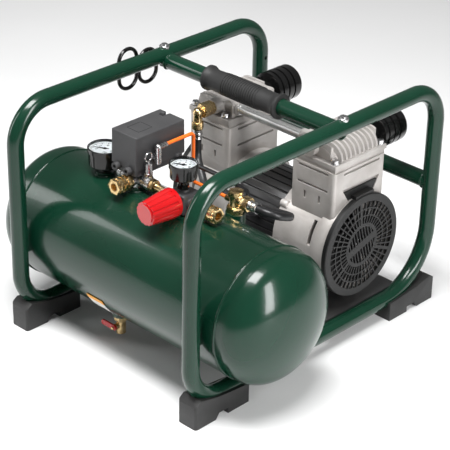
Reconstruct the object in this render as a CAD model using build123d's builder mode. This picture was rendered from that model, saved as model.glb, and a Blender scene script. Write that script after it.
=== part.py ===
"""Hand-carry twin-head oil-less air compressor: tube frame, one air tank, two-cylinder pump.

Millimetres. X runs along the tank, -Y is the front (gauge and knob side), +Z is up.
The origin is on the floor, under the middle of the tank's length and of the frame's depth.
"""
import os
from math import cos, radians, sin, sqrt

from build123d import *

os.makedirs("parts", exist_ok=True)

# ---- driving dimensions ------------------------------------------------------------------
# tube frame
tube_d = 25.0
tube_wall = 2.0
loop_spacing = 360.0          # between the two loops' centre planes
loop_depth = 511.0            # front to rear upright, centre to centre
rail_low = 30.0               # height of the bottom rails' centre line
rail_high = 360.0             # height of the top rails' centre line
bend_front_top = 60.0
bend_rear_top = 57.0
bend_rear_low = 98.0
bend_front_low = 61.0
handle_y = 40.0
handle_drop = 8.0             # handle tube below the top rails
crossbar_z = 199.0
grip_length = 149.0
grip_x = -10.5
grip_wall = 4.5
vent_hole_z = 295.0
vent_hole_r = 3.0

# rubber feet
foot_length = 106.0
foot_width = 35.0
foot_height = 44.0
foot_overhang = 6.5           # outer end of a foot beyond the upright's centre line
foot_notch = 24.0
foot_notch_height = 9.0
foot_bolt_r = 4.0

# tank
tank_r = 100.0
tank_wall = 2.5
tank_length = 552.0
dome_depth = 57.0
dome_flange = 12.0
tank_gap = 0.8                # tank above the bottom rails
tank_front_gap = 3.3          # tank behind the front uprights
bung_r = 15.0
bung_height = 4.0
drain_x = -50.0
drain_forward = 34.0          # drain bung in front of the tank's axis

# pump and motor
pump_x = 11.0
pump_y = 110.0
shaft_z = 141.0
plate_thickness = 3.0
plate_front = 80.0            # base plate in front of the shaft
plate_rear = 84.0
plate_length = 350.0
motor_r = 66.0
motor_length = 102.0
motor_bore_r = 42.0
rotor_r = 41.0
shaft_r = 7.0
case_r = 78.0
case_wall = 6.0
case_depth = 79.0
head_offset = 106.5           # cylinder axis from the pump's middle
head_width = 85.0             # along the shaft
head_depth = 114.0            # front to rear
block_top = 272.0
valve_plate = 6.0
cover_flange = 8.0
cover_crest = 24.0
bore_r = 28.0
stroke = 14.0
piston_clear = 0.4
rod_width = 12.0
eccentric_r = 16.0
swing_clear = 1.0             # open big end: play beyond the eccentric's sweep
fan_r = 72.0
fan_hub_r = 18.0
shroud_r = 82.0
bell_r = 80.5                 # open end of the crankcase, round the fan
bell_wall = 4.0
bell_depth = 22.0
shroud_rim = 5.0
shroud_wall = 5.0
grille_thickness = 3.0
mount_r = 13.0
crossover_r = 7.5
filter_r = 28.0
filter_length = 52.0
filter_z = 286.4
filter_neck = 13.0

# pressure control line along the top of the tank
line_z = 259.0
line_r = 9.0
manifold_x = -50.0
manifold_length = 64.0
switch_width = 53.0
switch_depth = 98.0
switch_height = 52.0
switch_front = 18.0           # switch in front of the tank's axis
switch_right = -32.0          # right face of the switch
switch_base_height = 10.0
switch_wall = 2.5
tank_gauge_x = -118.0
tank_gauge_r = 26.0
tank_gauge_height = 29.0
tank_gauge_top = 285.5
regulator_x = 46.0
regulator_half = 16.0
outlet_gauge_r = 21.0
outlet_gauge_height = 24.0
outlet_gauge_top = 318.0
knob_front_r = 17.5
knob_rear_r = 22.0
knob_length = 51.0
coupler_r = 10.5
sleeve_r = 11.8
plug_bore_r = 6.0
plug_depth = 20.0
sleeve_travel = 3.0
check_x = 74.0
check_y = -62.0
hose_r = 6.0
cable_r = 3.5

# fits
slide_clear = 0.35            # between a moving piece and what it moves in
shaft_clear = 0.05            # running fit on the radius
seat = 0.02                   # hairline between two cast faces that only rest on each other

# ---- derived places ------------------------------------------------------------------------
tube_r = tube_d / 2
loop_x = loop_spacing / 2
front_y = -loop_depth / 2
rear_y = loop_depth / 2
tank_z = rail_low + tube_r + tank_gap + tank_r
tank_y = front_y + tube_r + tank_front_gap + tank_r
ridge_z = tank_z + tank_r
shell_half = tank_length / 2 - dome_depth - dome_flange
handle_z = rail_high - handle_drop
plate_top = rail_low + tube_r + plate_thickness / 2
case_inner = motor_length / 2
case_outer = case_inner + case_depth
head_inner = head_offset - head_width / 2
head_outer = head_offset + head_width / 2
shroud_start = case_outer + bell_depth + seat
grille_face = shroud_start + shroud_rim
cover_base = block_top + valve_plate
cover_top = cover_base + cover_flange + cover_crest
port_z = cover_base + cover_flange + cover_crest / 2 + 1
throw = stroke / 2
big_end_r = eccentric_r + 2 * throw + swing_clear
switch_y = tank_y - switch_front + switch_depth / 2
switch_x = switch_right - switch_width / 2
switch_z = line_z + line_r + 2
elbow_x = pump_x - head_offset + 8


def ridge_height(y):
    """Height of the tank's surface above the floor at a distance y, on its upper side."""
    return tank_z + sqrt(tank_r**2 - (y - tank_y) ** 2)


def write(part, name):
    """Label a finished sub-part and write it as its own STEP file."""
    part.label = name
    export_step(part, f"parts/{name}.step")


def x_plane(x, y=0.0, z=0.0):
    """Sketch plane that faces +X: its own x runs along +Y and its own y along +Z."""
    return Plane(origin=(x, y, z), x_dir=(0, 1, 0), z_dir=(1, 0, 0))


def front_plane(x, y, z):
    """Sketch plane that faces -Y: its own x runs along +X and its own y along +Z."""
    return Plane(origin=(x, y, z), x_dir=(1, 0, 0), z_dir=(0, -1, 0))


def bar_x(x_low, x_high, radius, y, z, mode=Mode.ADD):
    """Round bar along X, in the builder that is open."""
    with Locations(Pos((x_low + x_high) / 2, y, z) * Rot(0, 90, 0)):
        Cylinder(radius, x_high - x_low, mode=mode)


def bar_y(y_low, y_high, radius, x, z, mode=Mode.ADD):
    """Round bar along Y, in the builder that is open."""
    with Locations(Pos(x, (y_low + y_high) / 2, z) * Rot(90, 0, 0)):
        Cylinder(radius, y_high - y_low, mode=mode)


def bar_z(z_low, z_high, radius, x, y, mode=Mode.ADD):
    """Upright round bar, in the builder that is open."""
    with Locations((x, y, (z_low + z_high) / 2)):
        Cylinder(radius, z_high - z_low, mode=mode)


def hexagon(plane, length, flats):
    """Hexagon nut of a given width across flats, from a plane along its normal."""
    with BuildSketch(plane) as outline:
        RegularPolygon(flats / 2, 6, major_radius=False)
    extrude(outline.sketch, amount=length)


# ---- frame ---------------------------------------------------------------------------------
def loop_path(x):
    """Closed centre line of a side loop, from the weld in the middle of its bottom rail."""
    with BuildLine(Plane.YZ.offset(x)) as line:
        Line((0, rail_low), (rear_y - bend_rear_low, rail_low))
        JernArc((rear_y - bend_rear_low, rail_low), (1, 0), bend_rear_low, 90)
        Line((rear_y, rail_low + bend_rear_low), (rear_y, rail_high - bend_rear_top))
        JernArc((rear_y, rail_high - bend_rear_top), (0, 1), bend_rear_top, 90)
        Line((rear_y - bend_rear_top, rail_high), (front_y + bend_front_top, rail_high))
        JernArc((front_y + bend_front_top, rail_high), (-1, 0), bend_front_top, 90)
        Line((front_y, rail_high - bend_front_top), (front_y, rail_low + bend_front_low))
        JernArc((front_y, rail_low + bend_front_low), (0, -1), bend_front_low, 90)
        Line((front_y + bend_front_low, rail_low), (0, rail_low))
    return line.wire()


def loop_bar(x, radius):
    """A solid round bar along a side loop."""
    with BuildPart() as bar:
        with BuildSketch(Plane(origin=(x, 0, rail_low), z_dir=(0, 1, 0))):
            Circle(radius)
        sweep(path=loop_path(x))
    return bar.part


def side_loop(x, vent):
    """Hollow side loop; the rear upright of one of them has a vent hole."""
    with BuildPart() as loop:
        add(loop_bar(x, tube_r))
        add(loop_bar(x, tube_r - tube_wall), mode=Mode.SUBTRACT)
        if vent:
            with Locations(Pos(x + tube_r / 2, rear_y, vent_hole_z) * Rot(0, 90, 0)):
                Cylinder(vent_hole_r, tube_d, mode=Mode.SUBTRACT)
    return loop.part


left_solid = loop_bar(-loop_x, tube_r)
right_solid = loop_bar(loop_x, tube_r)
write(side_loop(-loop_x, True), "left_loop")
write(side_loop(loop_x, False), "right_loop")


def cut_rails(z):
    """Take the two straight rails at a height out of the part being built."""
    for rail_x in (-loop_x, loop_x):
        bar_y(front_y, rear_y, tube_r, rail_x, z, mode=Mode.SUBTRACT)


def cut_uprights(y):
    """Take the two uprights at a depth out of the part being built."""
    for upright_x in (-loop_x, loop_x):
        bar_z(0, rail_high, tube_r, upright_x, y, mode=Mode.SUBTRACT)


def cross_tube(y, z, cope, place):
    """Tube from loop to loop, coped to the two rails or uprights that it is welded to."""
    with BuildPart() as tube:
        with BuildSketch(x_plane(-loop_x, y, z)):
            Circle(tube_r)
            Circle(tube_r - tube_wall, mode=Mode.SUBTRACT)
        extrude(amount=loop_spacing)
        cope(place)
    with BuildPart() as middle:
        add(tube.solids().sort_by(SortBy.VOLUME)[-1])
    return middle.part


write(cross_tube(handle_y, handle_z, cut_rails, rail_high), "handle_tube")
write(cross_tube(rear_y, crossbar_z, cut_uprights, rear_y), "rear_cross_bar")

# rubber grip: end collars, finger ribs between two plain stretches
grip_collar = 6.0
rib_pitch = 5.0
rib_count = 17
rib_depth = 1.2
with BuildPart() as handle_grip:
    with BuildSketch(x_plane(grip_x - grip_length / 2, handle_y, handle_z)):
        Circle(tube_r + grip_wall)
    extrude(amount=grip_length)
    for start in (grip_x - grip_length / 2, grip_x + grip_length / 2 - grip_collar):
        with BuildSketch(x_plane(start, handle_y, handle_z)):
            Circle(tube_r + grip_wall + 3)
        extrude(amount=grip_collar)
    for step in range(rib_count):
        groove_x = grip_x + (step - rib_count / 2) * rib_pitch
        with BuildSketch(x_plane(groove_x, handle_y, handle_z)):
            Circle(tube_r + grip_wall + 1)
            Circle(tube_r + grip_wall - rib_depth, mode=Mode.SUBTRACT)
        extrude(amount=rib_pitch * 0.4, mode=Mode.SUBTRACT)
    with BuildSketch(x_plane(grip_x - grip_length / 2, handle_y, handle_z)):
        Circle(tube_r)
    extrude(amount=grip_length, mode=Mode.SUBTRACT)
write(handle_grip.part, "handle_grip")

# steel deck under the motor, resting in the top of both bottom rails
deck_y = pump_y + (plate_rear - plate_front) / 2
deck_x = 0.0
deck_lip = 9.0
with BuildPart() as base_plate:
    with Locations((deck_x, deck_y, plate_top - plate_thickness / 2)):
        Box(plate_length, plate_front + plate_rear, plate_thickness)
    fillet(base_plate.edges().filter_by(Axis.Z), 6)
    for lip_y in (pump_y - plate_front + plate_thickness / 2, pump_y + plate_rear - plate_thickness / 2):
        with Locations((deck_x, lip_y, plate_top - deck_lip / 2 - plate_thickness / 2)):
            Box(loop_spacing - foot_width - 8, plate_thickness, deck_lip)
    add(left_solid, mode=Mode.SUBTRACT)
    add(right_solid, mode=Mode.SUBTRACT)
write(base_plate.part, "base_plate")

# tank held in the frame: a tab to each front upright and a saddle on each bottom rail
tab_height = 38.0
tab_thickness = 6.0
saddle_length = 46.0
with BuildPart() as tank_mounts:
    for side in (-loop_x, loop_x):
        with Locations((side, front_y + tube_r + tank_front_gap / 2, tank_z)):
            Box(tab_thickness, tank_front_gap + 8, tab_height)
        with Locations((side, tank_y, rail_low + tube_r)):
            Box(tab_thickness + 8, saddle_length, 8)
    cut_rails(rail_low)
    cut_uprights(front_y)
    with BuildSketch(x_plane(-tank_length / 2, tank_y, tank_z)):
        Circle(tank_r)
    extrude(amount=tank_length, mode=Mode.SUBTRACT)
write(tank_mounts.part, "tank_mounts")


# ---- feet ----------------------------------------------------------------------------------
def foot(side, end):
    """Moulded rubber foot that carries one corner of a loop; end is -1 in front, 1 behind."""
    outer = end * (loop_depth / 2 + foot_overhang)
    inner = outer - end * foot_length
    chamfer_y = 11.0
    shoulder = outer - end * foot_length * 0.42
    notch = outer - end * foot_length * 0.38
    notch_end = notch - end * foot_notch
    notch_top = notch - end * foot_notch_height * 0.7
    with BuildPart() as block:
        with BuildSketch(x_plane(side - foot_width / 2)):
            Polygon(
                (outer, 0),
                (outer, foot_height - 8),
                (outer - end * chamfer_y, foot_height),
                (shoulder, rail_low + 6),
                (inner, rail_low),
                (inner, 0),
                (notch_end, 0),
                (notch_end, foot_notch_height),
                (notch_top, foot_notch_height),
                (notch, 0),
                align=None,
            )
        extrude(amount=foot_width)
        long_edges = block.edges().filter_by(Axis.Z).group_by(Axis.Y)
        fillet(long_edges[0 if end < 0 else -1], 4)
        add(left_solid if side < 0 else right_solid, mode=Mode.SUBTRACT)
        with Locations((side, (notch_end + notch_top) / 2, foot_notch_height + 10)):
            Cylinder(foot_bolt_r, 20, mode=Mode.SUBTRACT)
    return block.part


for side_name, side in (("left", -loop_x), ("right", loop_x)):
    write(foot(side, -1), f"foot_front_{side_name}")
    write(foot(side, 1), f"foot_rear_{side_name}")

# bolts: one up through each foot, one down through each top rail into the handle
washer_r = 8.0
bolt_head = 4.5
with BuildPart() as frame_bolts:
    for side in (-loop_x, loop_x):
        for end in (-1, 1):
            notch_middle = foot_length * 0.38 + foot_notch / 2 + foot_notch_height * 0.35
            bolt_y = end * (loop_depth / 2 + foot_overhang - notch_middle)
            with Locations((side, bolt_y, (foot_notch_height + rail_low - tube_r) / 2)):
                Cylinder(foot_bolt_r, rail_low - tube_r - foot_notch_height)
            with Locations((side, bolt_y, foot_notch_height - bolt_head / 2)):
                Cylinder(foot_bolt_r + 2.5, bolt_head)
        with Locations((side, handle_y, rail_high + tube_r + bolt_head / 2)):
            Cylinder(foot_bolt_r + 1, bolt_head)
        with Locations((side, handle_y, rail_high + tube_r - 0.5)):
            Cylinder(washer_r, 4)
    cut_rails(rail_high)
write(frame_bolts.part, "frame_bolts")

# two closed rod hooks for a coiled hose, welded to the outside of the left top rail
hook_rod_r = 3.0
hook_x = -loop_x - tube_r - hook_rod_r + 0.3
hook_width = 36.0


def rod_hook(middle_y, low, high):
    """Stadium-shaped rod ring that hangs down beside the rail."""
    round_r = hook_width / 2
    left = middle_y - round_r
    right = middle_y + round_r
    with BuildPart() as hook:
        with BuildLine(Plane.YZ.offset(hook_x)) as path:
            Line((left, (low + high) / 2), (left, low + round_r))
            JernArc((left, low + round_r), (0, -1), round_r, 180)
            Line((right, low + round_r), (right, high - round_r))
            JernArc((right, high - round_r), (0, 1), round_r, 180)
            Line((left, high - round_r), (left, (low + high) / 2))
        with BuildSketch(Plane(origin=(hook_x, left, (low + high) / 2), z_dir=(0, 0, 1))):
            Circle(hook_rod_r)
        sweep(path=path.wire())
        add(left_solid, mode=Mode.SUBTRACT)
    return hook.part


with BuildPart() as hose_hooks:
    add(rod_hook(-22, rail_high - 43, rail_high + 21))
    add(rod_hook(19, rail_high - 44, rail_high + 9))
write(hose_hooks.part, "hose_hooks")


# ---- tank ----------------------------------------------------------------------------------
def bung(x, y, top, bore):
    """Threaded boss welded on the tank's upper side, up to a height."""
    with BuildPart() as boss:
        with Locations((x, y, (tank_z + top) / 2)):
            Cylinder(bung_r, top - tank_z)
            Cylinder(bore, top - tank_z, mode=Mode.SUBTRACT)
        with BuildSketch(x_plane(-tank_length / 2, tank_y, tank_z)):
            Circle(tank_r - tank_wall / 2)
        extrude(amount=tank_length, mode=Mode.SUBTRACT)
    return boss.part


bung_bore = 7.0
drain_y = tank_y - drain_forward
drain_surface = tank_z - sqrt(tank_r**2 - drain_forward**2)
check_seat = ridge_height(check_y - bung_r) + 1.5
with BuildPart() as tank_shell:
    with BuildSketch(x_plane(-shell_half, tank_y, tank_z)):
        Circle(tank_r)
        Circle(tank_r - tank_wall, mode=Mode.SUBTRACT)
    extrude(amount=2 * shell_half)
    add(bung(manifold_x, tank_y, ridge_z + bung_height, bung_bore))
    add(bung(tank_gauge_x, tank_y, ridge_z + bung_height, bung_bore))
    add(bung(check_x, check_y, check_seat, bung_bore))
    with Locations((drain_x, drain_y, drain_surface)):
        Cylinder(bung_r - 3, 14)
        Cylinder(bung_bore, 14, mode=Mode.SUBTRACT)
    with BuildSketch(x_plane(-shell_half, tank_y, tank_z)):
        Circle(tank_r - tank_wall)
    extrude(amount=2 * shell_half, mode=Mode.SUBTRACT)
write(tank_shell.part, "tank_shell")


def dish(depth, radius):
    """Upper half of a dished end's outline: straight flange, then a quarter ellipse."""
    shoulder = shell_half + dome_flange
    with BuildLine() as outline:
        Line((shell_half, 0), (shell_half, radius))
        Line((shell_half, radius), (shoulder, radius))
        EllipticalCenterArc((shoulder, 0), depth, radius, start_angle=0, arc_size=90)
        Line((shoulder + depth, 0), (shell_half, 0))
    return outline.wire()


with BuildPart() as tank_end:
    with BuildSketch():
        make_face(dish(dome_depth, tank_r))
        make_face(dish(dome_depth - tank_wall, tank_r - tank_wall), mode=Mode.SUBTRACT)
    revolve(axis=Axis.X)
end_right = Pos(0, tank_y, tank_z) * tank_end.part
write(end_right, "tank_end_right")
write(mirror(end_right, about=Plane.YZ), "tank_end_left")

# drain: brass ball valve with a quarter-turn lever
drain_top = drain_surface - 7
drain_length = drain_top - 13
drain_r = 7.5
stem_z = drain_top - 16
lever_length = 22.0
lever_gap = 0.3
stem_y = drain_y - drain_r - 3
with BuildPart() as drain_valve:
    with Locations((drain_x, drain_y, drain_top - drain_length / 2)):
        Cylinder(drain_r, drain_length)
    with BuildSketch(Plane.XY.offset(drain_top - 8)):
        with Locations((drain_x, drain_y)):
            RegularPolygon(drain_r + 2.5, 6)
    extrude(amount=8)
    with Locations(Pos(drain_x, stem_y + 2, stem_z) * Rot(90, 0, 0)):
        Cylinder(4.5, 4 + 2 * 2)
    with Locations(Pos(drain_x, stem_y - 4, stem_z) * Rot(90, 0, 0)):
        Cylinder(2.2, 8)
    with Locations((drain_x, drain_y, drain_top - drain_length / 2)):
        Cylinder(3.2, drain_length, mode=Mode.SUBTRACT)
write(drain_valve.part, "drain_valve")

lever_y = stem_y - 2 - lever_gap
with BuildPart() as drain_lever:
    with BuildSketch(front_plane(drain_x, lever_y, stem_z)):
        with Locations((-lever_length / 2, 0)):
            SlotOverall(lever_length + 10, 8.5)
    extrude(amount=3.2)
    fillet(drain_lever.faces().sort_by(Axis.Y)[0].edges(), 1)
    with Locations(Pos(drain_x, lever_y - 2, stem_z) * Rot(90, 0, 0)):
        Cylinder(2.2 + shaft_clear, 8, mode=Mode.SUBTRACT)
write(drain_lever.part, "drain_lever")


# ---- pressure line along the top of the tank -------------------------------------------------
manifold_left = manifold_x - manifold_length / 2
manifold_right = manifold_x + manifold_length / 2
manifold_front = tank_y - line_r - 6
safety_x = manifold_right - 7
safety_seat = line_z + line_r + 1
line_bore = 4.0
with BuildPart() as manifold:
    bar_x(manifold_left, manifold_right, line_r, tank_y, line_z)
    bar_z(ridge_z + bung_height, line_z, line_r + 2, manifold_x, tank_y)
    bar_z(line_z, switch_z, line_r, switch_x, tank_y)
    bar_y(manifold_front, tank_y, line_r, manifold_x, line_z)
    bar_z(line_z, safety_seat, line_r - 2, safety_x, tank_y)
    for collar_x in (manifold_left, manifold_right - 7):
        bar_x(collar_x, collar_x + 7, line_r + 1.0, tank_y, line_z)
    bar_y(manifold_front, manifold_front + 5, line_r + 1.0, manifold_x, line_z)
    bar_x(manifold_left + 12, manifold_right, line_bore, tank_y, line_z, mode=Mode.SUBTRACT)
    bar_z(ridge_z + bung_height, switch_z, line_bore, manifold_x, tank_y, mode=Mode.SUBTRACT)
write(manifold.part, "manifold")

# pressure switch: moulded base with two cable glands, tall cover, on-off lever
gland_r = 5.8
gland_length = 9.0
gland_z = switch_z + 8
lever_slot = 9.0
lever_throw = 14.0
switch_top = switch_z + switch_base_height + switch_height
switch_rear = switch_y + switch_depth / 2
switch_face = switch_y - switch_depth / 2
lever_x = switch_x - 9
lever_pivot_y = switch_rear - 12
lever_pivot_z = switch_top - 11
pivot_r = 2.5
cable_gland_y = switch_rear - 16
cable_exit = switch_right + gland_length - 4
unloader_y = switch_y - 12
unloader_z = switch_z + switch_base_height + 13
unloader_stem_r = 3.6
with BuildPart() as switch_base:
    with Locations((switch_x, switch_y, switch_z + switch_base_height / 2)):
        Box(switch_width - 4, switch_depth - 4, switch_base_height)
    fillet(switch_base.edges().filter_by(Axis.Z), 4)
    for gland_x in (switch_x - 12, switch_x + 12):
        bar_y(switch_face - gland_length + 2, switch_face + 6, gland_r, gland_x, gland_z)
        bar_y(switch_face - gland_length + 2, switch_face + 4, 3, gland_x, gland_z, mode=Mode.SUBTRACT)
    bar_x(switch_right - 12, cable_exit, gland_r, cable_gland_y, gland_z)
    bar_x(cable_exit - 7, cable_exit, cable_r + shaft_clear, cable_gland_y, gland_z, mode=Mode.SUBTRACT)
    with Locations((switch_x, switch_y + 6, switch_z + switch_base_height + 12)):
        Box(switch_width - 18, switch_depth - 50, 24)
    bar_x(lever_x - 7, lever_x - 5.5, 5, lever_pivot_y, lever_pivot_z)
    bar_x(lever_x - 5.5, lever_x + 5.5, pivot_r, lever_pivot_y, lever_pivot_z)
    with Locations((lever_x - 6.25, lever_pivot_y, (lever_pivot_z + switch_z + 9) / 2)):
        Box(1.5, 6, lever_pivot_z - switch_z - 9)
write(switch_base.part, "switch_base")

mark_width = 25.0
mark_depth = 27.0
with BuildPart() as switch_cover:
    with BuildSketch(Plane.XY.offset(switch_z + switch_base_height)):
        with Locations((switch_x, switch_y)):
            RectangleRounded(switch_width, switch_depth, 3)
    extrude(amount=switch_height, taper=0.8)
    fillet(switch_cover.faces().sort_by(Axis.Z)[-1].edges(), 1.6)
    with BuildSketch(Plane.XY.offset(switch_z + switch_base_height)):
        with Locations((switch_x, switch_y)):
            RectangleRounded(switch_width - 2 * switch_wall, switch_depth - 2 * switch_wall, 1.5)
    extrude(amount=switch_height - switch_wall, taper=0.8, mode=Mode.SUBTRACT)
    with BuildSketch(Plane.XY.offset(switch_top)):
        with Locations((switch_x, switch_face + 32)):
            Rectangle(mark_width, mark_depth)
            Rectangle(mark_width - 1.6, mark_depth - 1.6, mode=Mode.SUBTRACT)
    extrude(amount=-0.7, mode=Mode.SUBTRACT)
    with Locations((lever_x, switch_rear - 4, switch_top - 6)):
        Box(lever_slot, 24, 22, mode=Mode.SUBTRACT)
    for gland_x in (switch_x - 12, switch_x + 12):
        bar_y(switch_face - 1, switch_face + 8, gland_r + slide_clear, gland_x, gland_z, mode=Mode.SUBTRACT)
    bar_x(
        switch_right - 14, switch_right + 1, gland_r + slide_clear,
        cable_gland_y, gland_z, mode=Mode.SUBTRACT,
    )
    bar_x(
        switch_right - 14, switch_right + 1, unloader_stem_r + slide_clear,
        unloader_y, unloader_z, mode=Mode.SUBTRACT,
    )
write(switch_cover.part, "switch_cover")

with BuildPart() as switch_lever:
    with BuildSketch(x_plane(lever_x - 3, lever_pivot_y, lever_pivot_z)):
        Circle(pivot_r + 2.5)
        with BuildLine():
            Polyline((-3, 0), (-2, lever_throw), (3, lever_throw + 1), (5, 0), (-3, 0))
        make_face()
    extrude(amount=6)
    bar_x(lever_x - 4, lever_x + 4, pivot_r + shaft_clear, lever_pivot_y, lever_pivot_z, mode=Mode.SUBTRACT)
write(switch_lever.part, "switch_lever")


# gauges: upright black cans with a dial under a clear lens
def gauge_case(x, y, top, height, radius):
    """Gauge can with its stem, open at the top down to the dial face."""
    with BuildPart() as case:
        with BuildSketch(Plane.XY.offset(top - height)):
            with Locations((x, y)):
                Circle(radius - 1.5)
        extrude(amount=height)
        with BuildSketch(Plane.XY.offset(top - 7)):
            with Locations((x, y)):
                Circle(radius)
        extrude(amount=7)
        fillet(case.faces().sort_by(Axis.Z)[-1].edges(), 1.2)
        fillet(case.faces().sort_by(Axis.Z)[0].edges(), 3)
        bar_z(top - 5, top, radius - 2, x, y, mode=Mode.SUBTRACT)
        bar_z(top - 6, top - 2.6, 1.2, x, y)
    return case.part


def gauge_lens(x, y, top, radius):
    """Clear lens pressed into the bezel above the needle."""
    with BuildPart() as lens:
        bar_z(top - 1.9, top - 0.5, radius - 2 - seat, x, y)
        fillet(lens.faces().sort_by(Axis.Z)[-1].edges(), 0.5)
    return lens.part


def gauge_needle(x, y, top, radius):
    """Pointer that turns on the dial's centre post."""
    level = top - 4.2
    with BuildPart() as needle:
        with BuildSketch(Plane.XY.offset(level)):
            with Locations((x, y)):
                Circle(2.6)
            with BuildLine():
                Polyline(
                    (x - radius * 0.62, y - radius * 0.32),
                    (x + 0.9, y - 1.2),
                    (x + radius * 0.2, y + radius * 0.14),
                    (x - 0.9, y + 1.2),
                    (x - radius * 0.62, y - radius * 0.32),
                )
            make_face()
            with Locations((x, y)):
                Circle(1.2 + shaft_clear, mode=Mode.SUBTRACT)
        extrude(amount=0.7)
    return needle.part


for gauge, gauge_x, top, height, radius in (
    ("tank_gauge", tank_gauge_x, tank_gauge_top, tank_gauge_height, tank_gauge_r),
    ("outlet_gauge", regulator_x, outlet_gauge_top, outlet_gauge_height, outlet_gauge_r),
):
    base = ridge_z + bung_height if gauge == "tank_gauge" else line_z + regulator_half + 3
    with BuildPart() as can:
        add(gauge_case(gauge_x, tank_y, top, height, radius))
        bar_z(base, top - height, 6, gauge_x, tank_y)
        with BuildSketch(Plane.XY.offset(base)):
            with Locations((gauge_x, tank_y)):
                RegularPolygon(7.5, 6, major_radius=False)
        extrude(amount=6)
    write(can.part, gauge)
    write(gauge_needle(gauge_x, tank_y, top, radius), f"{gauge}_needle")
    write(gauge_lens(gauge_x, tank_y, top, radius), f"{gauge}_lens")

# safety valve upright on the manifold's right end, with its pull ring on top
safety_r = 6.0
safety_low = safety_seat + seat
safety_top = safety_low + 22
pin_r = 1.6
pin_travel = 4.0
ring_r = 6.5
ring_wire = 1.1
with BuildPart() as safety_valve:
    hexagon(Plane(origin=(safety_x, tank_y, safety_low)), 7, 11)
    bar_z(safety_low + 7, safety_top, safety_r - 0.6, safety_x, tank_y)
    bar_z(safety_low + 4, safety_top + 1, pin_r + shaft_clear, safety_x, tank_y, mode=Mode.SUBTRACT)
write(safety_valve.part, "safety_valve")

with BuildPart() as safety_ring:
    bar_z(safety_low + 5, safety_top + pin_travel, pin_r, safety_x, tank_y)
    with Locations(Pos(safety_x, tank_y, safety_top + pin_travel + ring_r - 0.6) * Rot(0, 90, 0)):
        Torus(ring_r, ring_wire)
write(safety_ring.part, "safety_ring")

# regulator: block with a bonnet towards the knob, brass nipple from the manifold
nipple_r = 5.0
bonnet_r = 12.0
body_front = tank_y - regulator_half
body_left = regulator_x - regulator_half
body_right = regulator_x + regulator_half
bonnet_length = 6.0
knob_rear = body_front - bonnet_length - slide_clear
knob_z = ridge_height(knob_rear) + knob_rear_r + 0.6
knob_front = knob_rear - knob_length
spindle_r = 6.0
with BuildPart() as regulator_body:
    block_height = line_z + regulator_half - ridge_z - tank_gap
    with Locations((regulator_x, tank_y, line_z + regulator_half - block_height / 2)):
        Box(2 * regulator_half, 2 * regulator_half, block_height)
    fillet(regulator_body.edges(), 3)
    bar_y(body_front - bonnet_length, body_front, bonnet_r, regulator_x, knob_z)
    bar_y(knob_rear - 24, body_front - bonnet_length, spindle_r, regulator_x, knob_z)
    bar_z(line_z + regulator_half, line_z + regulator_half + 3, 9, regulator_x, tank_y)
    bar_x(body_right, body_right + 3, 10, tank_y, line_z)
write(regulator_body.part, "regulator_body")

flute_count = 14
flute_r = 2.0
knob_collar = 6.0


def fluted_face(radius):
    """Round section with hollows all round its rim, in the sketch that is open."""
    Circle(radius)
    with PolarLocations(radius + 0.6, flute_count):
        Circle(flute_r, mode=Mode.SUBTRACT)


with BuildPart() as regulator_knob:
    with BuildSketch(front_plane(regulator_x, knob_rear - knob_collar, knob_z)):
        fluted_face(knob_rear_r)
    with BuildSketch(front_plane(regulator_x, knob_front, knob_z)):
        fluted_face(knob_front_r)
    loft(ruled=True)
    bar_y(knob_rear - knob_collar, knob_rear, knob_rear_r, regulator_x, knob_z)
    bar_y(knob_front - 2, knob_front, knob_front_r - 3, regulator_x, knob_z)
    bar_y(knob_rear - 25, knob_rear, spindle_r + shaft_clear, regulator_x, knob_z, mode=Mode.SUBTRACT)
write(regulator_knob.part, "regulator_knob")

with BuildPart() as line_nipple:
    bar_x(manifold_right, body_left, nipple_r, tank_y, line_z)
    hexagon(x_plane(manifold_right, tank_y, line_z), 9, 17)
    hexagon(x_plane(body_left - 6, tank_y, line_z), 6, 15)
write(line_nipple.part, "line_nipple")

# ---- quick couplers --------------------------------------------------------------------------
coupler_reach = 30.0
coupler_lip = 5.0
coupler_hex = 8.0
coupler_core_r = 9.0
lobe_count = 6


def coupler(base, length):
    """Female coupler: stem, hexagon, core and mouth lip, from a plane along its normal."""
    stem = length - coupler_reach
    with BuildPart() as body:
        if stem > 0:
            with BuildSketch(base):
                Circle(coupler_core_r - 2)
            extrude(amount=stem)
        hexagon(base.offset(stem), coupler_hex, 2 * coupler_r)
        with BuildSketch(base.offset(stem)):
            Circle(coupler_core_r)
        extrude(amount=coupler_reach)
        with BuildSketch(base.offset(length - coupler_lip)):
            Circle(coupler_r)
            with PolarLocations(coupler_r - 1, lobe_count):
                Circle(2.6)
        extrude(amount=coupler_lip)
        with BuildSketch(base.offset(length)):
            Circle(plug_bore_r)
        extrude(amount=-plug_depth, mode=Mode.SUBTRACT)
        with BuildSketch(base):
            Circle(line_bore)
        extrude(amount=length, mode=Mode.SUBTRACT)
    return body.part


def coupler_sleeve(base, length):
    """Knurled sleeve round the coupler's core, held against the lip by its spring."""
    rear = length - coupler_reach + coupler_hex + sleeve_travel + slide_clear
    front = length - coupler_lip - slide_clear
    with BuildPart() as sleeve:
        with BuildSketch(base.offset(rear)):
            Circle(sleeve_r)
        extrude(amount=front - rear)
        chamfer(sleeve.edges(), 0.8)
        with BuildSketch(base.offset((rear + front) / 2 - 1.5)):
            Circle(sleeve_r + 1)
            Circle(sleeve_r - 1, mode=Mode.SUBTRACT)
        extrude(amount=3, mode=Mode.SUBTRACT)
        with BuildSketch(base.offset(rear)):
            Circle(coupler_core_r + shaft_clear)
        extrude(amount=front - rear, mode=Mode.SUBTRACT)
    return sleeve.part


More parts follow.
